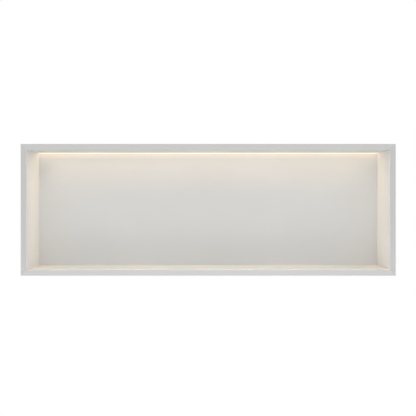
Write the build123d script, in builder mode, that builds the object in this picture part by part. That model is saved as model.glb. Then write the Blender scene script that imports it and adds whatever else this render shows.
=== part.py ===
"""Lit shower niche insert: a folded sheet-steel tub with a flat rim, and a light line hung in a cove
along the rear of its ceiling.

Millimetres. X runs along the niche, +Y goes into the wall and +Z is up. The origin is the centre of
the opening, in the plane where the rim's turned-back edge bears on the finished wall.
"""

import math
import os

from build123d import *

# The opening, as seen from the front
opening_width = 895.0
opening_height = 295.0
overall_depth = 100.0  # front of the rim to the rear of the back panel

# The sheet and its folds
sheet = 1.5
bend_inside = 0.5
bend_outside = bend_inside + sheet

# The rim, a flat band round the opening with its edge turned back to the wall
rim_width = 15.0
rim_return = 5.0
mitre_groove_width = 0.5
mitre_groove_depth = 0.2

# The light cove, a trough folded up out of the ceiling against the back panel
cove_width = 19.5
cove_height = 8.5

# Extruded aluminium channel, an H in section, hung in the cove with its open side down
channel_width = 17.0
channel_wall = 1.4
channel_web = 1.2
rib_width = 2.0
rib_height = 1.2
latch_groove_depth = 0.5  # in the inner faces, for the diffuser's hooks
latch_groove_height = 0.8
latch_groove_rise = 0.9  # from the channel's lower edge
clip_groove_depth = 0.6  # in the outer faces, for the spring clips
clip_groove_height = 1.8
clip_groove_rise = 2.3
lead_hole_radius = 2.5
lead_inset = 12.0  # from the channel's right end to the lead's hole

# Opal diffuser snapped into the channel
diffuser_face = 1.2
diffuser_edge_radius = 0.4
diffuser_gap = 0.5  # on each side, between its edge and the cove
leg_thickness = 0.9
leg_clearance = 0.1
leg_tip = 0.5  # thickness left at the leg's tapered end
leg_height = 2.2
hook_reach = 0.3
hook_land = 0.2

# Moulded end caps
cap_plate = 1.2
cap_wall_gap = 0.3
cap_corner = 0.8
plug_depth = 4.0
plug_wall = 1.0
plug_clearance = 0.2

# Flexible light strip, made up of segments with three diodes and one resistor
segment_length = 25.0
diodes_per_segment = 3
strip_end_room = 20.0  # at least this much bare channel at each end
strip_width = 10.0
strip_thickness = 0.3
diode_length = 3.5
diode_width = 2.8
diode_height = 0.8
window_border = 0.45
window_depth = 0.2
resistor_length = 3.2
resistor_width = 1.6
resistor_height = 0.6
resistor_row = 3.2  # from the strip's middle line to the resistors

# Spring clips bent from strip
clip_count = 4
clip_inset = 86.0  # from the channel's ends to the outer clips
clip_length = 14.0
clip_sheet = 0.5
clip_bend = 0.3
clip_clearance = 0.1
clip_bite = 0.45  # reach of a hook into the channel's groove, before its tip is rounded
hook_slope = 0.8  # height of a hook's slope above its tip
flare = 1.2  # drop of a leg's open end below the hook's tip

# Blind rivets that hold the clips to the cove's roof
rivet_radius = 1.6
rivet_clearance = 0.05
rivet_head_radius = 3.0
rivet_head_height = 0.9
rivet_head_chamfer = 0.5
rivet_tail_radius = 2.3
rivet_tail_height = 1.8
rivet_tail_chamfer = 0.6
mandrel_radius = 0.9
mandrel_recess = 0.5

# Rubber grommet where the lead comes in through the cove's roof
grommet_hole_radius = 4.5
grommet_clearance = 0.05
grommet_bore_radius = 2.3
grommet_flange_radius = 6.0
grommet_flange_height = 1.0
grommet_nose_radius = 4.0
grommet_nose_height = 0.8

# Foam seal strips in the hollow behind the rim
seal_width = 6.0
seal_edge_gap = 0.5  # from the rim's turned-back edge
seal_corner_gap = 0.3

# Places in the tub's section
half_width = opening_width / 2
half_height = opening_height / 2
front_y = -rim_return
back_y = front_y + overall_depth - sheet
cove_front_y = back_y - cove_width
cove_y = back_y - cove_width / 2
roof_z = half_height + cove_height
rim_outer_width = opening_width + 2 * rim_width
rim_outer_height = opening_height + 2 * rim_width
hollow_depth = rim_return - sheet

# Places in the channel's section
channel_bottom_z = half_height + diffuser_face
channel_top_z = roof_z - clip_sheet
web_top_z = channel_top_z - rib_height
web_bottom_z = web_top_z - channel_web
strip_z = web_bottom_z - strip_thickness
half_channel = channel_width / 2
channel_inside = half_channel - channel_wall
channel_corner = clip_bend + clip_clearance
latch_z = channel_bottom_z + latch_groove_rise
clip_groove_z = channel_bottom_z + clip_groove_rise
face_width = cove_width - 2 * diffuser_gap
leg_outside = channel_inside - leg_clearance
leg_inside = leg_outside - leg_thickness

# Places along the channel
channel_length = opening_width - 2 * (cap_wall_gap + cap_plate)
channel_end = channel_length / 2
lead_x = channel_end - lead_inset
segment_count = math.floor((channel_length - 2 * strip_end_room) / segment_length)
strip_length = segment_count * segment_length
diode_count = segment_count * diodes_per_segment
diode_pitch = segment_length / diodes_per_segment
clip_pitch = (channel_length - 2 * clip_inset) / (clip_count - 1)
clip_places = [(i - (clip_count - 1) / 2) * clip_pitch for i in range(clip_count)]

os.makedirs("parts", exist_ok=True)


def finish(piece, name):
    """Labels a finished piece and writes it."""
    piece.part.label = name
    export_step(piece.part, f"parts/{name}.step")


def across_cove(right_half):
    """Points (y, z) of an outline symmetrical about the cove, from its right half as (offset, z)."""
    right = [(cove_y + offset_y, z) for offset_y, z in right_half]
    left = [(cove_y - offset_y, z) for offset_y, z in reversed(right_half)]
    return right + left


# Rim and tub. The floor, back, cove and ceiling are one folded strip, and the side plates are
# welded to it with square corners. The rim's corners are mitred and welded.
with BuildPart() as tub:
    section_corners = [
        (front_y, -half_height),
        (back_y, -half_height),
        (back_y, roof_z),
        (cove_front_y, roof_z),
        (cove_front_y, half_height),
        (front_y, half_height),
    ]
    with BuildSketch(Plane.YZ):
        with BuildLine():
            Polyline(*section_corners, close=True)
        make_face()
        for corner in section_corners[1:4]:
            fillet(vertices().sort_by_distance(corner)[0], bend_inside)
        fillet(vertices().sort_by_distance(section_corners[4])[0], bend_outside)
    extrude(amount=half_width, both=True)
    offset(amount=sheet, openings=faces().sort_by(Axis.Y)[0], kind=Kind.INTERSECTION)

with BuildPart() as niche_body:
    with BuildSketch(Plane.XZ):
        Rectangle(rim_outer_width, rim_outer_height)
        Rectangle(rim_outer_width - 2 * sheet, rim_outer_height - 2 * sheet, mode=Mode.SUBTRACT)
    extrude(amount=rim_return)
    with BuildSketch(Plane.XZ.offset(hollow_depth)):
        Rectangle(rim_outer_width, rim_outer_height)
        Rectangle(opening_width, opening_height, mode=Mode.SUBTRACT)
    extrude(amount=sheet)
    add(tub.part)
    fillet(faces().sort_by(Axis.Y)[0].outer_wire().edges(), bend_outside)
    fillet(faces().sort_by(Axis.Y)[0].inner_wires()[0].edges(), bend_outside)
    rim_rear = faces().filter_by(Axis.Y).sort_by_distance((half_width + rim_width / 2, -hollow_depth, 0))[0]
    fillet(rim_rear.edges(), bend_inside)

    # Mitre seams, dressed but still just to be seen
    for across, up in ((-1, -1), (1, -1), (1, 1), (-1, 1)):
        opening_corner = (across * half_width, front_y, up * half_height)
        with BuildSketch(Plane(opening_corner, x_dir=(up, 0, -across), z_dir=(across, 0, up))):
            with BuildLine():
                Polyline(
                    (-mitre_groove_width, -mitre_groove_depth),
                    (mitre_groove_width, -mitre_groove_depth),
                    (0, mitre_groove_depth),
                    close=True,
                )
            make_face()
        extrude(amount=math.hypot(rim_width, rim_width), mode=Mode.SUBTRACT)

    # Holes in the cove's roof for the clips' rivets and for the grommet
    with BuildSketch(Plane.XY.offset(roof_z)):
        with Locations(*[(x, cove_y) for x in clip_places]):
            Circle(rivet_radius + rivet_clearance)
        with Locations((lead_x, cove_y)):
            Circle(grommet_hole_radius)
    extrude(amount=sheet, mode=Mode.SUBTRACT)
finish(niche_body, "niche_body")

# Light channel
with BuildPart() as light_channel:
    with BuildSketch(Plane.YZ):
        with Locations((cove_y, channel_bottom_z)):
            Rectangle(channel_width, channel_top_z - channel_bottom_z, align=(Align.CENTER, Align.MIN))
        fillet(vertices().group_by(Axis.Y)[-1], channel_corner)
        with Locations((cove_y, channel_bottom_z)):
            Rectangle(
                2 * channel_inside,
                web_bottom_z - channel_bottom_z,
                align=(Align.CENTER, Align.MIN),
                mode=Mode.SUBTRACT,
            )
        with Locations((cove_y, web_top_z)):
            Rectangle(
                channel_width - 2 * rib_width,
                rib_height,
                align=(Align.CENTER, Align.MIN),
                mode=Mode.SUBTRACT,
            )
        with Locations((cove_y, latch_z)):
            Rectangle(
                2 * (channel_inside + latch_groove_depth),
                latch_groove_height,
                align=(Align.CENTER, Align.MIN),
                mode=Mode.SUBTRACT,
            )
        with Locations((cove_y - half_channel, clip_groove_z), (cove_y + half_channel, clip_groove_z)):
            Rectangle(
                2 * clip_groove_depth,
                clip_groove_height,
                align=(Align.CENTER, Align.MIN),
                mode=Mode.SUBTRACT,
            )
    extrude(amount=channel_end, both=True)
    with BuildSketch(Plane.XY.offset(web_bottom_z)):
        with Locations((lead_x, cove_y)):
            Circle(lead_hole_radius)
    extrude(amount=channel_web, mode=Mode.SUBTRACT)
finish(light_channel, "light_channel")

# Diffuser: a flat face flush with the ceiling and two legs hooked into the channel
with BuildPart() as light_diffuser:
    hook_z = latch_z + leg_clearance
    hook_outside = channel_inside + hook_reach
    leg_top_z = channel_bottom_z + leg_height
    right_half = [
        (face_width / 2, half_height),
        (face_width / 2, channel_bottom_z),
        (leg_outside, channel_bottom_z),
        (leg_outside, hook_z),
        (hook_outside, hook_z),
        (hook_outside, hook_z + hook_land),
        (leg_inside + leg_tip, leg_top_z),
        (leg_inside, leg_top_z),
        (leg_inside, channel_bottom_z),
    ]
    with BuildSketch(Plane.YZ):
        with BuildLine():
            Polyline(*across_cove(right_half), close=True)
        make_face()
        fillet(vertices().group_by(Axis.Y)[0], diffuser_edge_radius)
    extrude(amount=channel_end, both=True)
finish(light_diffuser, "light_diffuser")

# End caps: a plate over the channel's end and a hollow plug pushed into the channel
for side, name in ((-1, "end_cap_left"), (1, "end_cap_right")):
    plug_width = 2 * (leg_inside - plug_clearance)
    plug_bottom_z = channel_bottom_z + plug_clearance
    plug_height = web_bottom_z - plug_clearance - plug_bottom_z
    plug_middle = (cove_y, plug_bottom_z + plug_height / 2)
    with BuildPart() as end_cap:
        with BuildSketch(Plane.YZ.offset(side * channel_end)):
            with Locations((cove_y, (half_height + channel_top_z) / 2)):
                RectangleRounded(face_width, channel_top_z - half_height, cap_corner)
        extrude(amount=side * cap_plate)
        with BuildSketch(Plane.YZ.offset(side * channel_end)):
            with Locations(plug_middle):
                Rectangle(plug_width, plug_height)
                Rectangle(plug_width - 2 * plug_wall, plug_height - 2 * plug_wall, mode=Mode.SUBTRACT)
        extrude(amount=-side * plug_depth)
    finish(end_cap, name)

# Light strip, stuck under the channel's web
with BuildPart() as light_strip:
    with BuildSketch(Plane.XY.offset(strip_z)):
        with Locations((0, cove_y)):
            Rectangle(strip_length, strip_width)
    extrude(amount=strip_thickness)
finish(light_strip, "light_strip")

with BuildPart() as strip_diodes:
    with BuildSketch(Plane.XY.offset(strip_z)):
        with Locations((0, cove_y)):
            with GridLocations(diode_pitch, 0, diode_count, 1):
                Rectangle(diode_length, diode_width)
    extrude(amount=-diode_height)
    with BuildSketch(Plane.XY.offset(strip_z - diode_height)):
        with Locations((0, cove_y)):
            with GridLocations(diode_pitch, 0, diode_count, 1):
                Rectangle(diode_length - 2 * window_border, diode_width - 2 * window_border)
    extrude(amount=window_depth, mode=Mode.SUBTRACT)
finish(strip_diodes, "strip_diodes")

with BuildPart() as strip_resistors:
    with BuildSketch(Plane.XY.offset(strip_z)):
        with Locations((diode_pitch / 2, cove_y + resistor_row)):
            with GridLocations(segment_length, 0, segment_count, 1):
                Rectangle(resistor_length, resistor_width)
    extrude(amount=-resistor_height)
finish(strip_resistors, "strip_resistors")

# Spring clips over the channel, and the rivets that hold them up
leg_middle = half_channel + clip_clearance + clip_sheet / 2
hook_tip = half_channel - clip_bite + clip_sheet / 2
hook_tip_z = clip_groove_z + clip_groove_height / 2
flare_end = hook_tip + (leg_middle - hook_tip) * flare / hook_slope
right_leg = [
    (flare_end, hook_tip_z - flare),
    (hook_tip, hook_tip_z),
    (leg_middle, hook_tip_z + hook_slope),
    (leg_middle, channel_top_z + clip_sheet / 2),
]
for number, x in enumerate(clip_places, start=1):
    with BuildPart() as spring_clip:
        with BuildSketch(Plane.YZ.offset(x)):
            with BuildLine():
                FilletPolyline(*across_cove(right_leg), radius=clip_bend + clip_sheet / 2)
            trace(line_width=clip_sheet)
        extrude(amount=clip_length / 2, both=True)
        with BuildSketch(Plane.XY.offset(channel_top_z)):
            with Locations((x, cove_y)):
                Circle(rivet_radius + rivet_clearance)
        extrude(amount=clip_sheet, mode=Mode.SUBTRACT)
    finish(spring_clip, f"spring_clip_{number}")

    with BuildPart() as clip_rivet:
        head_z = channel_top_z - rivet_head_height
        tail_z = roof_z + sheet
        with BuildSketch(Plane((x, cove_y, 0), x_dir=(1, 0, 0), z_dir=(0, -1, 0))):
            with BuildLine():
                Polyline(
                    (0, head_z + mandrel_recess),
                    (mandrel_radius, head_z + mandrel_recess),
                    (mandrel_radius, head_z),
                    (rivet_head_radius, head_z),
                    (rivet_head_radius, channel_top_z),
                    (rivet_radius, channel_top_z),
                    (rivet_radius, tail_z),
                    (rivet_tail_radius, tail_z),
                    (rivet_tail_radius, tail_z + rivet_tail_height),
                    (0, tail_z + rivet_tail_height),
                    close=True,
                )
            make_face()
            chamfer(vertices().sort_by_distance((rivet_head_radius, head_z))[0], rivet_head_chamfer)
            tail_edge = (rivet_tail_radius, tail_z + rivet_tail_height)
            chamfer(vertices().sort_by_distance(tail_edge)[0], rivet_tail_chamfer)
        revolve(axis=Axis((x, cove_y, 0), (0, 0, 1)))
    finish(clip_rivet, f"clip_rivet_{number}")

# Cable grommet, sprung into its hole in the cove's roof
with BuildPart() as cable_grommet:
    neck_radius = grommet_hole_radius - grommet_clearance
    roof_top_z = roof_z + sheet
    flange_top_z = roof_top_z + grommet_flange_height
    with BuildSketch(Plane((lead_x, cove_y, 0), x_dir=(1, 0, 0), z_dir=(0, -1, 0))):
        with BuildLine():
            Polyline(
                (grommet_bore_radius, roof_z - grommet_flange_height),
                (grommet_flange_radius, roof_z - grommet_flange_height),
                (grommet_flange_radius, roof_z),
                (neck_radius, roof_z),
                (neck_radius, roof_top_z),
                (grommet_flange_radius, roof_top_z),
                (grommet_nose_radius, flange_top_z),
                (grommet_nose_radius, flange_top_z + grommet_nose_height),
                (grommet_bore_radius, flange_top_z + grommet_nose_height),
                close=True,
            )
        make_face()
    revolve(axis=Axis((lead_x, cove_y, 0), (0, 0, 1)))
finish(cable_grommet, "cable_grommet")

# Rim seals: foam strips butted at the corners, pressed flush with the turned-back edge
seal_inset = sheet + seal_edge_gap + seal_width / 2
seal_x = rim_outer_width / 2 - seal_inset
seal_z = rim_outer_height / 2 - seal_inset
long_seal = 2 * seal_x + seal_width
short_seal = 2 * seal_z - seal_width - 2 * seal_corner_gap
seals = {
    "rim_seal_top": ((0, seal_z), long_seal, seal_width),
    "rim_seal_bottom": ((0, -seal_z), long_seal, seal_width),
    "rim_seal_left": ((-seal_x, 0), seal_width, short_seal),
    "rim_seal_right": ((seal_x, 0), seal_width, short_seal),
}
for name, (middle, width, height) in seals.items():
    with BuildPart() as rim_seal:
        with BuildSketch(Plane.XZ):
            with Locations(middle):
                Rectangle(width, height)
        extrude(amount=hollow_depth)
    finish(rim_seal, name)
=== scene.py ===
"""Lit shower niche insert, dressed for a studio picture. Metres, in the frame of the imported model."""

import bpy
import numpy as np
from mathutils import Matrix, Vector


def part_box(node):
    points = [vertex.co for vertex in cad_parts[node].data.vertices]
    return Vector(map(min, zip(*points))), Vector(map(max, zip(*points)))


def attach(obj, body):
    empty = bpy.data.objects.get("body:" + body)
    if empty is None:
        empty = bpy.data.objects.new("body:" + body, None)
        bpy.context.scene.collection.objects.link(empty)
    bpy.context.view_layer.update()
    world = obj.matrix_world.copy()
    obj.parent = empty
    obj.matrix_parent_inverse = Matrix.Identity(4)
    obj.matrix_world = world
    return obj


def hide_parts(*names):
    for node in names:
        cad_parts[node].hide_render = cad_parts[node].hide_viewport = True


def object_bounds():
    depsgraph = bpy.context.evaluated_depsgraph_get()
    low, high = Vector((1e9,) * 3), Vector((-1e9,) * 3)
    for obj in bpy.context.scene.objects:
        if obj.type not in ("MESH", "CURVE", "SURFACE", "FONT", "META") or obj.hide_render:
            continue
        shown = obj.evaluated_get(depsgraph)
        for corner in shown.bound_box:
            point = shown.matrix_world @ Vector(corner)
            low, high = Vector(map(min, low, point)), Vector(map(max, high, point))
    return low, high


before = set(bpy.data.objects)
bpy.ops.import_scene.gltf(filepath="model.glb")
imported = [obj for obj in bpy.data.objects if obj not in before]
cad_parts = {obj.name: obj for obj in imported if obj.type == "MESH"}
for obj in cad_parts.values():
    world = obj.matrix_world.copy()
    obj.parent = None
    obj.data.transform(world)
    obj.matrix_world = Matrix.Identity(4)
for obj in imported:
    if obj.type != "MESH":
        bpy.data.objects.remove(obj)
cad_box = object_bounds()

# Niche body: one skin of steel sheet, folded and welded into a tub with a flat rim, its seams dressed
# flush, then powder coated white all over. The coat is satin, with a fine orange peel. The rim's strips
# carry painted shade: each is painted darker than the rest of the coat, the sides most and the bottom
# least, for how light falls on it, and they meet at the mitres.
millimetre = 0.001
coat_colour = (0.70, 0.70, 0.695)
coat_shade = (0.685, 0.685, 0.678)
coat_specular = 0.35
coat_roughness = (0.66, 0.72)
cloud_size = 120.0 * millimetre
satin_size = 20.0 * millimetre
peel_size = 2.2 * millimetre
peel_depth = 0.012 * millimetre
grain_size = 0.5 * millimetre
grain_depth = 0.002 * millimetre
# Painted shade on the rim: factors that darken each strip of the rim against the rest of the coat, for how
# light falls on it; the sides darkest, the bottom least.
side_rim_painted_shade = 0.826
top_rim_painted_shade = 0.867
bottom_rim_painted_shade = 0.888
mitre_blur = 0.2 * millimetre
middle_blur = 1.0 * millimetre
painted_shade_front = -4.6 * millimetre
painted_shade_rear = -3.6 * millimetre


def new_material(name, colour, roughness=0.5, metallic=0.0):
    """An empty node material with its Principled shader and the piece's own coordinates."""
    material = bpy.data.materials.new(name)
    material.use_nodes = True
    nodes = material.node_tree.nodes
    shader = nodes["Principled BSDF"]
    shader.inputs["Base Color"].default_value = (*colour, 1.0)
    shader.inputs["Roughness"].default_value = roughness
    shader.inputs["Metallic"].default_value = metallic
    place = nodes.new("ShaderNodeTexCoord")
    return material, shader, place.outputs["Object"]


def add_node(material, kind, inputs=None, **settings):
    """Adds a node, sets its settings, and links or fills its inputs by name or number."""
    node = material.node_tree.nodes.new(kind)
    for key, value in settings.items():
        setattr(node, key, value)
    for key, value in (inputs or {}).items():
        if isinstance(value, bpy.types.NodeSocket):
            material.node_tree.links.new(value, node.inputs[key])
        else:
            node.inputs[key].default_value = value
    return node


def feed(material, value, node, name):
    """Links a value to the node's input of that name."""
    material.node_tree.links.new(value, node.inputs[name])


def noise(material, place, size, detail=2.0, stretch=(1.0, 1.0, 1.0)):
    """Noise with features about size metres across, drawn out along an axis whose stretch is small."""
    scaled = add_node(material, "ShaderNodeMapping", {"Vector": place, "Scale": stretch})
    texture = add_node(
        material,
        "ShaderNodeTexNoise",
        {"Vector": scaled.outputs[0], "Scale": 1.0 / size, "Detail": detail, "Roughness": 0.5},
    )
    return texture.outputs["Fac"]


def span(material, value, low, high, from_low=0.3, from_high=0.7):
    """Stretches a value from its own range, by default a noise's middle, to that from low to high."""
    node = add_node(
        material,
        "ShaderNodeMapRange",
        {"Value": value, "From Min": from_low, "From Max": from_high, "To Min": low, "To Max": high},
    )
    return node.outputs["Result"]


def calculate(material, operation, first, second=0.0):
    """Sum, product or other plain calculation of two values, or of the first alone."""
    return add_node(material, "ShaderNodeMath", {0: first, 1: second}, operation=operation).outputs[0]


def blend_colours(material, factor, first, second):
    """Colour that runs from first to second with the factor."""
    node = add_node(material, "ShaderNodeMix", {"Factor": factor}, data_type="RGBA")
    node.inputs[6].default_value = (*first, 1.0)
    node.inputs[7].default_value = (*second, 1.0)
    return node.outputs[2]


def add_bumps(material, shader, layers):
    """Chains bumps, each given as its height and its depth in metres."""
    normal = None
    for height, depth in layers:
        inputs = {"Height": height, "Strength": 1.0, "Distance": depth}
        if normal:
            inputs["Normal"] = normal
        normal = add_node(material, "ShaderNodeBump", inputs).outputs["Normal"]
    feed(material, normal, shader, "Normal")


def dress(node_names, material):
    """Gives the nodes of the frame a material."""
    for name in node_names:
        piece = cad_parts[name]
        piece.data.materials.clear()
        piece.data.materials.append(material)


coat, coat_shader, coat_place = new_material("white_powder_coat", coat_colour)
coat_shader.inputs["Specular IOR Level"].default_value = coat_specular
coat_axes = add_node(coat, "ShaderNodeSeparateXYZ", {"Vector": coat_place}).outputs

# A point of the rim lies on a long strip where |z| > |x| - (half the width - half the height).
body_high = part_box("niche_body")[1]
from_middle_x = calculate(coat, "ABSOLUTE", coat_axes["X"])
from_middle_z = calculate(coat, "ABSOLUTE", coat_axes["Z"])
mitre_height = calculate(coat, "SUBTRACT", from_middle_x, body_high.x - body_high.z)
past_mitre = calculate(coat, "SUBTRACT", from_middle_z, mitre_height)
on_long_strip = span(coat, past_mitre, 0.0, 1.0, -mitre_blur, mitre_blur)
on_short_strip = calculate(coat, "SUBTRACT", 1.0, on_long_strip)
long_strip_painted_shade = span(coat, coat_axes["Z"], bottom_rim_painted_shade, top_rim_painted_shade, -middle_blur, middle_blur)
long_strip_shade_part = calculate(coat, "MULTIPLY", on_long_strip, long_strip_painted_shade)
short_strip_shade_part = calculate(coat, "MULTIPLY", on_short_strip, side_rim_painted_shade)
rim_painted_shade = calculate(coat, "ADD", long_strip_shade_part, short_strip_shade_part)
# Painted shade: the coat's colour is scaled down on the rim's front face by its strip's factor.
on_rim = span(coat, coat_axes["Y"], 1.0, 0.0, painted_shade_front, painted_shade_rear)
painted_shade_change = calculate(coat, "MULTIPLY", on_rim, calculate(coat, "SUBTRACT", rim_painted_shade, 1.0))
painted_shade_factor = calculate(coat, "ADD", 1.0, painted_shade_change)

cloudiness = span(coat, noise(coat, coat_place, cloud_size), 0.0, 1.0)
clouded = blend_colours(coat, cloudiness, coat_colour, coat_shade)
clouded_and_shaded = add_node(coat, "ShaderNodeVectorMath", {0: clouded, "Scale": painted_shade_factor}, operation="SCALE")
feed(coat, clouded_and_shaded.outputs[0], coat_shader, "Base Color")
feed(coat, span(coat, noise(coat, coat_place, satin_size), *coat_roughness), coat_shader, "Roughness")
orange_peel = noise(coat, coat_place, peel_size)
coat_grain = noise(coat, coat_place, grain_size, detail=3.0)
add_bumps(coat, coat_shader, [(orange_peel, peel_depth), (coat_grain, grain_depth)])
dress(["niche_body"], coat)

# Weld beads: the side plates are welded to the folded strip all along its edge. The seams are dressed
# flush inside and on the back, and left as rippled beads elsewhere outside, coated over.
sheet = 1.5 * millimetre
opening_half_width = 447.5 * millimetre
opening_half_height = 147.5 * millimetre
cove_front = 74.0 * millimetre
cove_roof = 156.0 * millimetre
fold_outside = 2.0 * millimetre
fold_inside = 0.5 * millimetre
arc_points = 13
bead_radius = 1.4 * millimetre
bead_inset = 1.0 * millimetre
bead_start = -2.5 * millimetre
bead_around = 16
back_gap = 0.02 * millimetre
ripple_pitch = 1.6 * millimetre
ripple_depth = 0.13 * millimetre
ripple_steps = 6
wander_share = 0.05
wander_length = 41.0 * millimetre
draw_in_share = 0.65
draw_in_angle = 225.0
draw_in_spread = 25.0


def rounded_path(corners, radii, step):
    """Evenly spaced points and tangents of a line through square corners, each rounded to its radius.

    An arc starts its radius before the corner: centre - r out cos(a) + r in sin(a), for a from 0 to 90
    degrees, where in and out are the directions before and after the corner.
    """
    corners = np.array(corners)
    legs = np.diff(corners, axis=0)
    legs /= np.linalg.norm(legs, axis=1)[:, None]
    before, after = legs[:-1, None, :], legs[1:, None, :]
    radius = np.array(radii)[:, None, None]
    centre = corners[1:-1, None, :] + radius * (after - before)
    angle = np.linspace(0.0, np.pi / 2, arc_points)[None, :, None]
    arcs = centre + radius * (before * np.sin(angle) - after * np.cos(angle))
    line = np.concatenate([corners[:1], arcs.reshape(-1, 2), corners[-1:]])
    length = np.concatenate([[0.0], np.cumsum(np.linalg.norm(np.diff(line, axis=0), axis=1))])
    way = np.linspace(0.0, length[-1], int(length[-1] / step))
    points = np.stack([np.interp(way, length, line[:, axis]) for axis in range(2)], axis=-1)
    tangents = np.gradient(points, axis=0)
    return way, points, tangents / np.linalg.norm(tangents, axis=1)[:, None]


def bead_surface(side):
    """Weld bead along a side plate's edge, a closed tube carried along the folded strip's outline.

    Its radius is R (1 + 0.05 sin(2 pi s / wander length)) less a ripple, p |cos(pi s / pitch)|, rounded
    off at both ends, and drawn in to about a third towards the inner corner, to stay within the sheet.
    """
    outer_y = body_high.y - bead_inset
    low_z = -opening_half_height - sheet + bead_inset
    ceiling_z = opening_half_height + sheet - bead_inset
    roof_z = cove_roof + sheet - bead_inset
    cove_y = cove_front - sheet + bead_inset
    corners = [
        (bead_start, low_z),
        (outer_y, low_z),
        (outer_y, roof_z),
        (cove_y, roof_z),
        (cove_y, ceiling_z),
        (bead_start, ceiling_z),
    ]
    fold = fold_outside - bead_inset
    radii = [fold, fold, fold, fold_inside + bead_inset]
    way, points, tangents = rounded_path(corners, radii, ripple_pitch / ripple_steps)
    outward = np.stack([np.zeros(len(way)), tangents[:, 1], -tangents[:, 0]], axis=-1)
    from_end = np.clip(np.minimum(way, way[-1] - way) / bead_radius, 0.0, 1.0)
    rounding = np.sqrt(1.0 - (1.0 - from_end) ** 2)
    ripple = ripple_depth * np.abs(np.cos(np.pi * way / ripple_pitch))
    wander = 1.0 + wander_share * np.sin(way * 2.0 * np.pi / wander_length)
    radius = (bead_radius * wander - ripple) * rounding
    angle = np.linspace(0.0, 2.0 * np.pi, bead_around, endpoint=False) * side
    inner = np.degrees((angle - np.radians(draw_in_angle) + np.pi) % (2.0 * np.pi) - np.pi)
    reach = 1.0 - draw_in_share * np.exp(-((inner / draw_in_spread) ** 2))
    sideways = np.array([side, 0.0, 0.0])
    middle_x = side * (opening_half_width + sheet - bead_inset)
    middle = np.stack([np.full(len(way), middle_x), *points.T], axis=-1)
    ring = np.cos(angle)[None, :, None] * sideways + np.sin(angle)[None, :, None] * outward[:, None, :]
    surface = middle[:, None, :] + (radius[:, None] * reach)[:, :, None] * ring
    surface[..., 1] = np.minimum(surface[..., 1], body_high.y - back_gap)
    return surface.reshape(-1, 3), len(way)


def tube_faces(rings, around):
    """Quads between neighbouring rings, and one face over each end."""
    ring = np.arange(rings - 1)[:, None] * around
    step = np.arange(around)[None, :]
    nearby = (step + 1) % around
    corners = [ring + step, ring + nearby, ring + around + nearby, ring + around + step]
    quads = np.stack(corners, axis=-1).reshape(-1, 4)
    ends = [list(range(around))[::-1], list(range((rings - 1) * around, rings * around))]
    return quads.tolist() + ends


def make_piece(name, points, faces, material):
    """New piece of the root body, with smooth faces."""
    mesh = bpy.data.meshes.new(name)
    mesh.from_pydata(points.tolist(), [], faces)
    mesh.shade_smooth()
    mesh.materials.append(material)
    piece = bpy.data.objects.new(name, mesh)
    bpy.context.scene.collection.objects.link(piece)
    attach(piece, "root")
    return piece


for side, side_name in ((-1.0, "left"), (1.0, "right")):
    points, rings = bead_surface(side)
    make_piece(f"weld_bead_{side_name}", points, tube_faces(rings, bead_around), coat)

# Light channel: extruded aluminium, anodised, hung in the cove on its clips. The die leaves fine
# lines along its length.
channel_colour = (0.70, 0.705, 0.71)
channel_roughness = (0.28, 0.45)
die_line_width = 0.6 * millimetre
die_line_depth = 0.01 * millimetre
die_line_stretch = (0.01, 1.0, 1.0)
anodised, anodised_shader, anodised_place = new_material("anodised_extrusion", channel_colour, metallic=1.0)
die_lines = noise(anodised, anodised_place, die_line_width, stretch=die_line_stretch)
feed(anodised, span(anodised, die_lines, *channel_roughness), anodised_shader, "Roughness")
add_bumps(anodised, anodised_shader, [(die_lines, die_line_depth)])
dress(["light_channel"], anodised)

# Diffuser: an opal strip, extruded in plastic, whose legs snap into the channel so that its face is
# flush with the ceiling. It glows warm all along.
opal_colour = (0.80, 0.79, 0.76)
glow_colour = (1.0, 0.74, 0.46)
glow_strength = 0.62
opal_grain_size = 1.0 * millimetre
opal_grain_depth = 0.01 * millimetre
opal_grain_stretch = (0.05, 1.0, 1.0)
opal, opal_shader, opal_place = new_material("opal_diffuser", opal_colour, roughness=0.4)
opal_shader.inputs["Emission Color"].default_value = (*glow_colour, 1.0)
opal_shader.inputs["Emission Strength"].default_value = glow_strength
opal_grain = noise(opal, opal_place, opal_grain_size, stretch=opal_grain_stretch)
add_bumps(opal, opal_shader, [(opal_grain, opal_grain_depth)])
dress(["light_diffuser"], opal)

# End caps: white injection mouldings, plugged into the channel's two ends. Their tool was spark
# eroded, which leaves a fine even texture.
moulding_colour = (0.78, 0.78, 0.76)
spark_size = 0.4 * millimetre
spark_depth = 0.02 * millimetre
moulding, moulding_shader, moulding_place = new_material("white_moulding", moulding_colour, roughness=0.5)
spark_texture = noise(moulding, moulding_place, spark_size)
add_bumps(moulding, moulding_shader, [(spark_texture, spark_depth)])
dress(["end_cap_left", "end_cap_right"], moulding)

# Light strip: a white flexible board stuck under the channel's web, with a pair of copper pads beside
# every line where it may be cut. A pad's place and reach along it are shares of a segment, counted
# from the segment's middle.
film_colour = (0.80, 0.80, 0.77)
copper_colour = (0.72, 0.38, 0.22)
segment_length = 25.0 * millimetre
pad_place = 0.46
pad_reach = 0.035
pad_row = 3.0 * millimetre
pad_half_width = 1.1 * millimetre
film_wave_size = 3.0 * millimetre
film_wave_depth = 0.03 * millimetre
strip_low, strip_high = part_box("light_strip")
strip_middle = (strip_low + strip_high) / 2


def along_segment(material, place):
    """Place along a segment of the strip, from 0 to 1, and distance from the strip's middle line."""
    axes = add_node(material, "ShaderNodeSeparateXYZ", {"Vector": place}).outputs
    from_end = calculate(material, "SUBTRACT", axes["X"], strip_low.x)
    segments = calculate(material, "DIVIDE", from_end, segment_length)
    across = calculate(material, "SUBTRACT", axes["Y"], strip_middle.y)
    return calculate(material, "FRACT", segments), calculate(material, "ABSOLUTE", across)


def within(material, value, middle, reach):
    """1 where value lies within reach of middle, 0 elsewhere."""
    node = add_node(material, "ShaderNodeMath", {0: value, 1: middle, 2: reach}, operation="COMPARE")
    return node.outputs[0]


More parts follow.
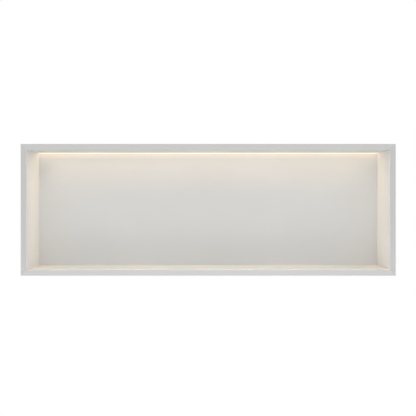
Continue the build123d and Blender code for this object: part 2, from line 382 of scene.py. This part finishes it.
film, film_shader, film_place = new_material("strip_film", film_colour, roughness=0.45)
part_way, from_line = along_segment(film, film_place)
from_segment_middle = calculate(film, "ABSOLUTE", calculate(film, "SUBTRACT", part_way, 0.5))
by_the_cut = within(film, from_segment_middle, pad_place, pad_reach)
in_pad_row = within(film, from_line, pad_row, pad_half_width)
pads = calculate(film, "MULTIPLY", by_the_cut, in_pad_row)
feed(film, blend_colours(film, pads, film_colour, copper_colour), film_shader, "Base Color")
feed(film, pads, film_shader, "Metallic")
film_waves = noise(film, film_place, film_wave_size)
add_bumps(film, film_shader, [(film_waves, film_wave_depth)])
dress(["light_strip"], film)

# Diodes: small white moulded packages soldered under the strip, each with a window filled with yellow
# phosphor, sunk a little into its face.
package_colour = (0.80, 0.80, 0.76)
phosphor_colour = (0.85, 0.55, 0.08)
window_depth = 0.2 * millimetre
window_reach = 0.02 * millimetre
diode, diode_shader, diode_place = new_material("diode_package", package_colour, roughness=0.35)
diode_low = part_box("strip_diodes")[0]
diode_axes = add_node(diode, "ShaderNodeSeparateXYZ", {"Vector": diode_place}).outputs
window = within(diode, diode_axes["Z"], diode_low.z + window_depth, window_reach)
feed(diode, blend_colours(diode, window, package_colour, phosphor_colour), diode_shader, "Base Color")
dress(["strip_diodes"], diode)

# Resistors: black ceramic chips with bright tinned ends, soldered beside the diodes, one in each
# segment, two thirds of the way along it.
chip_colour = (0.02, 0.02, 0.022)
tin_colour = (0.75, 0.75, 0.76)
chip_length = 3.2 * millimetre
tin_length = 0.4 * millimetre
chip_share = 2.0 / 3.0
resistor, resistor_shader, resistor_place = new_material("chip_resistor", chip_colour, roughness=0.4)
part_way = along_segment(resistor, resistor_place)[0]
ceramic = within(resistor, part_way, chip_share, (chip_length / 2 - tin_length) / segment_length)
feed(resistor, blend_colours(resistor, ceramic, tin_colour, chip_colour), resistor_shader, "Base Color")
dress(["strip_resistors"], resistor)

# Spring clips: bent from bright stainless strip, and riveted to the cove's roof. The rolling leaves
# fine lines along each clip.
spring_colour = (0.55, 0.55, 0.56)
spring_roughness = (0.22, 0.42)
rolling_size = 0.3 * millimetre
rolling_stretch = (1.0, 0.02, 0.02)
clip_names = [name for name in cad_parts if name.startswith("spring_clip")]
spring, spring_shader, spring_place = new_material("spring_strip", spring_colour, metallic=1.0)
rolling = noise(spring, spring_place, rolling_size, stretch=rolling_stretch)
feed(spring, span(spring, rolling, *spring_roughness), spring_shader, "Roughness")
dress(clip_names, spring)

# Rivets: sealed aluminium blind rivets, set from inside the cove, so their closed tails swell above its
# roof. Setting leaves them lightly hammered.
rivet_colour = (0.66, 0.66, 0.67)
rivet_roughness = (0.32, 0.5)
hammered_size = 0.8 * millimetre
hammered_depth = 0.03 * millimetre
rivet_names = [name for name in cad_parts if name.startswith("clip_rivet")]
rivet, rivet_shader, rivet_place = new_material("rivet_aluminium", rivet_colour, metallic=1.0)
hammered = noise(rivet, rivet_place, hammered_size)
feed(rivet, span(rivet, hammered, *rivet_roughness), rivet_shader, "Roughness")
add_bumps(rivet, rivet_shader, [(hammered, hammered_depth)])
dress(rivet_names, rivet)

# Cable grommet: moulded in black rubber and sprung into a hole in the roof, where the low-voltage
# lead comes in.
rubber_colour = (0.022, 0.022, 0.023)
rubber_grain_size = 0.6 * millimetre
rubber_grain_depth = 0.03 * millimetre
rubber, rubber_shader, rubber_place = new_material("black_rubber", rubber_colour, roughness=0.62)
rubber_grain = noise(rubber, rubber_place, rubber_grain_size)
add_bumps(rubber, rubber_shader, [(rubber_grain, rubber_grain_depth)])
dress(["cable_grommet"], rubber)

# Rim seals: closed-cell foam strips stuck in the hollow behind the rim, squeezed against the wall so
# that their sides bulge a little. Their cut ends butt at the corners.
foam_colour = (0.06, 0.062, 0.065)
foam_cell_size = 0.9 * millimetre
foam_cell_depth = 0.12 * millimetre
seal_rings = 180
seal_around = 40
seal_roundness = 7.0
seal_ripple = 0.02
seal_wave = 190.0
foam, foam_shader, foam_place = new_material("grey_foam", foam_colour, roughness=0.9)
foam_inputs = {"Vector": foam_place, "Scale": 1.0 / foam_cell_size}
foam_cells = add_node(foam, "ShaderNodeTexVoronoi", foam_inputs, feature="F1")
add_bumps(foam, foam_shader, [(foam_cells.outputs["Distance"], foam_cell_depth)])


def strip_surface(low, high, along):
    """Foam strip that fills the box from low to high, long along one axis.

    Section: a superellipse, |a|^n + |b|^n = 1, so the sides are nearly flat and the corners round.
    The sides are pulled in by up to a share of the half width, which goes as the sine of the place
    along the strip times the wave number, in radians a metre.
    """
    middle = (np.array(low) + np.array(high)) / 2
    half = (np.array(high) - np.array(low)) / 2
    across = [axis for axis in range(3) if axis != along]
    angle = np.linspace(0.0, 2.0 * np.pi, seal_around, endpoint=False)
    way = np.linspace(-1.0, 1.0, seal_rings)
    ring_a = np.sign(np.cos(angle)) * np.abs(np.cos(angle)) ** (2.0 / seal_roundness)
    ring_b = np.sign(np.sin(angle)) * np.abs(np.sin(angle)) ** (2.0 / seal_roundness)
    pull = 1.0 - seal_ripple * (0.5 + 0.5 * np.sin(way * half[along] * seal_wave))
    points = np.empty((seal_rings, seal_around, 3))
    points[..., along] = way[:, None] * half[along]
    points[..., across[0]] = half[across[0]] * ring_a[None, :] * pull[:, None]
    points[..., across[1]] = half[across[1]] * ring_b[None, :]
    return (points + middle).reshape(-1, 3)


for side in ("top", "bottom", "left", "right"):
    low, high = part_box(f"rim_seal_{side}")
    along = 0 if side in ("top", "bottom") else 2
    points = strip_surface(low, high, along)
    seal = make_piece(f"foam_seal_{side}", points, tube_faces(seal_rings, seal_around), foam)
    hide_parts(f"rim_seal_{side}")

# Studio: a pale paper floor well below the niche, which shows white further out, and a white room all
# round, seen brighter than it lights.
white = (1.0, 1.0, 1.0)
paper_tone = 0.8
paper_glow = 0.8
paper_shade = 0.23
paper_near = 0.5
paper_far = 1.5
floor_drop = 0.75
floor_reach = 12.0
room_light = 0.79


def seen(material):
    """1 for a ray of the camera, a mirroring or a see-through face, 0 for a ray that only lights."""
    sight = add_node(material, "ShaderNodeLightPath").outputs
    mirrored = calculate(material, "MAXIMUM", sight["Is Camera Ray"], sight["Is Glossy Ray"])
    return calculate(material, "MAXIMUM", mirrored, sight["Is Transmission Ray"])


def mix_shaders(material, factor, first, second):
    """Shader that goes from first to second with the factor."""
    return add_node(material, "ShaderNodeMixShader", {0: factor, 1: first, 2: second}).outputs[0]


floor_mesh = bpy.data.meshes.new("studio_floor")
floor_corners = [(-1, -1), (1, -1), (1, 1), (-1, 1)]
floor_points = [(x * floor_reach, y * floor_reach, -floor_drop) for x, y in floor_corners]
floor_mesh.from_pydata(floor_points, [], [(0, 1, 2, 3)])
floor = bpy.data.objects.new("studio_floor", floor_mesh)
bpy.context.scene.collection.objects.link(floor)
paper, paper_shader, paper_place = new_material("studio_paper", (paper_tone,) * 3, roughness=0.9)
flat_inputs = {0: paper_place, 1: (1.0, 1.0, 0.0)}
flat_place = add_node(paper, "ShaderNodeVectorMath", flat_inputs, operation="MULTIPLY").outputs[0]
from_niche = add_node(paper, "ShaderNodeVectorMath", {0: flat_place}, operation="LENGTH")
far_share = span(paper, from_niche.outputs["Value"], 0.0, 1.0, paper_near, paper_far)
near_glow = add_node(paper, "ShaderNodeEmission", {"Color": (*white, 1.0), "Strength": paper_glow})
near_shade = add_node(paper, "ShaderNodeBsdfDiffuse", {"Color": (*(paper_shade,) * 3, 1.0)})
near_paper = add_node(paper, "ShaderNodeAddShader", {0: near_glow.outputs[0], 1: near_shade.outputs[0]})
far_glow = add_node(paper, "ShaderNodeEmission", {"Color": (*white, 1.0), "Strength": 1.0})
seen_paper = mix_shaders(paper, far_share, near_paper.outputs[0], far_glow.outputs[0])
paper_surface = mix_shaders(paper, seen(paper), paper_shader.outputs[0], seen_paper)
feed(paper, paper_surface, paper.node_tree.nodes["Material Output"], "Surface")
floor_mesh.materials.append(paper)

world = bpy.data.worlds.new("studio")
bpy.context.scene.world = world
world.use_nodes = True
room = world.node_tree.nodes["Background"]
room.inputs["Color"].default_value = (*white, 1.0)
room.inputs["Strength"].default_value = room_light
seen_room = add_node(world, "ShaderNodeBackground", {"Color": (*white, 1.0), "Strength": 1.0})
room_surface = mix_shaders(world, seen(world), room.outputs[0], seen_room.outputs[0])
feed(world, room_surface, world.node_tree.nodes["World Output"], "Surface")

# Lamps: softboxes before, above and below the niche and one at each side, and the niche's own light.
# That falls from its diffuser in four overlapping beams, straight down at its ends, and along the
# niche to each side plate.
centre = (0.0, 0.0, 0.0)
softboxes = [
    ("front_softbox", (0.0, -2.5, 0.2), (1.2, 0.8), 5.0),
    ("left_softbox", (-2.8, -0.4, 0.0), (0.25, 0.8), 13.0),
    ("right_softbox", (2.8, -0.4, 0.0), (0.25, 0.8), 13.0),
    ("overhead_softbox", (0.0, -0.6, 2.2), (1.4, 0.4), 5.0),
    ("lower_strip", (0.0, -0.5, -0.6), (0.9, 0.3), 0.9),
]
warm_light = (1.0, 0.78, 0.48)
beam_drop = 0.3 * millimetre
beam_step = 0.1 * millimetre
beam_width = 12.0 * millimetre
beams = [
    # length in millimetres, degrees that it leans to the front, degrees that it spreads, watts
    (894.0, -85.0, 150.0, 0.0235),
    (862.0, -8.0, 18.0, 0.0236),
    (820.0, 33.5, 113.0, 0.61),
    (894.0, 33.5, 150.0, 0.115),
]
amber_light = (1.0, 0.62, 0.10)
end_place = 425.0 * millimetre
end_length = 36.0 * millimetre
end_lean = 60.0 * millimetre
end_spread = 30.0
end_watts = 0.0060
along_place = (430.0 * millimetre, 60.0 * millimetre, 0.0)
along_size = (60.0 * millimetre, 280.0 * millimetre)
along_spread = 3.0
along_watts = 0.0058


def area_light(name, place, towards, size, watts, colour=white, spread=180.0, mirrored=True):
    """Rectangular lamp that faces a point, hidden from the camera, mirrored in shiny things if asked."""
    lamp = bpy.data.lights.new(name, "AREA")
    lamp.shape = "RECTANGLE"
    lamp.size, lamp.size_y = size
    lamp.energy = watts
    lamp.color = colour
    lamp.spread = np.radians(spread)
    holder = bpy.data.objects.new(name, lamp)
    holder.location = place
    holder.rotation_euler = (Vector(towards) - Vector(place)).to_track_quat("-Z", "Y").to_euler()
    holder.visible_camera = False
    holder.visible_glossy = mirrored
    bpy.context.scene.collection.objects.link(holder)


for name, place, size, watts in softboxes:
    area_light(name, place, centre, size, watts)

diffuser_low, diffuser_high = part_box("light_diffuser")
beam_place = Vector((0.0, (diffuser_low.y + diffuser_high.y) / 2, diffuser_low.z - beam_drop))
for number, (length, lean, spread, watts) in enumerate(beams):
    turn = np.radians(lean)
    place = beam_place - Vector((0.0, 0.0, number * beam_step))
    aim = place + Vector((0.0, -np.sin(turn), -np.cos(turn)))
    size = (length * millimetre, beam_width)
    area_light(f"niche_beam_{number + 1}", place, aim, size, watts, warm_light, spread, mirrored=False)

for side, side_name in ((-1.0, "left"), (1.0, "right")):
    place = Vector((side * end_place, *beam_place.yz))
    aim = (place.x, place.y - end_lean, -opening_half_height)
    size = (end_length, beam_width)
    name = f"niche_end_{side_name}"
    area_light(name, place, aim, size, end_watts, amber_light, end_spread, mirrored=False)
    place = Vector((-side * along_place[0], *along_place[1:]))
    aim = place + Vector((side, 0.0, 0.0))
    name = f"niche_length_{side_name}"
    area_light(name, place, aim, along_size, along_watts, amber_light, along_spread, mirrored=False)

# Camera: level and square to the niche, a little above its middle. Its film is shifted, so that the
# niche sits in the picture as it should while its upright lines stay upright.
camera_distance = 1.290
camera_rise = 0.0195
picture_width = 1.0244
picture_rise = 0.00444
picture_slide = 0.0005
sensor = 36.0
rim_front = cad_box[0].y
camera_data = bpy.data.cameras.new("camera")
camera_data.sensor_width = sensor
camera_data.lens = sensor * camera_distance / picture_width
camera_data.shift_x = -picture_slide / picture_width
camera_data.shift_y = (picture_rise - camera_rise) / picture_width
camera = bpy.data.objects.new("camera", camera_data)
camera.location = (0.0, rim_front - camera_distance, camera_rise)
camera.rotation_euler = (np.pi / 2, 0.0, 0.0)
bpy.context.scene.collection.objects.link(camera)
bpy.context.scene.camera = camera
bpy.context.scene.view_settings.view_transform = "Standard"
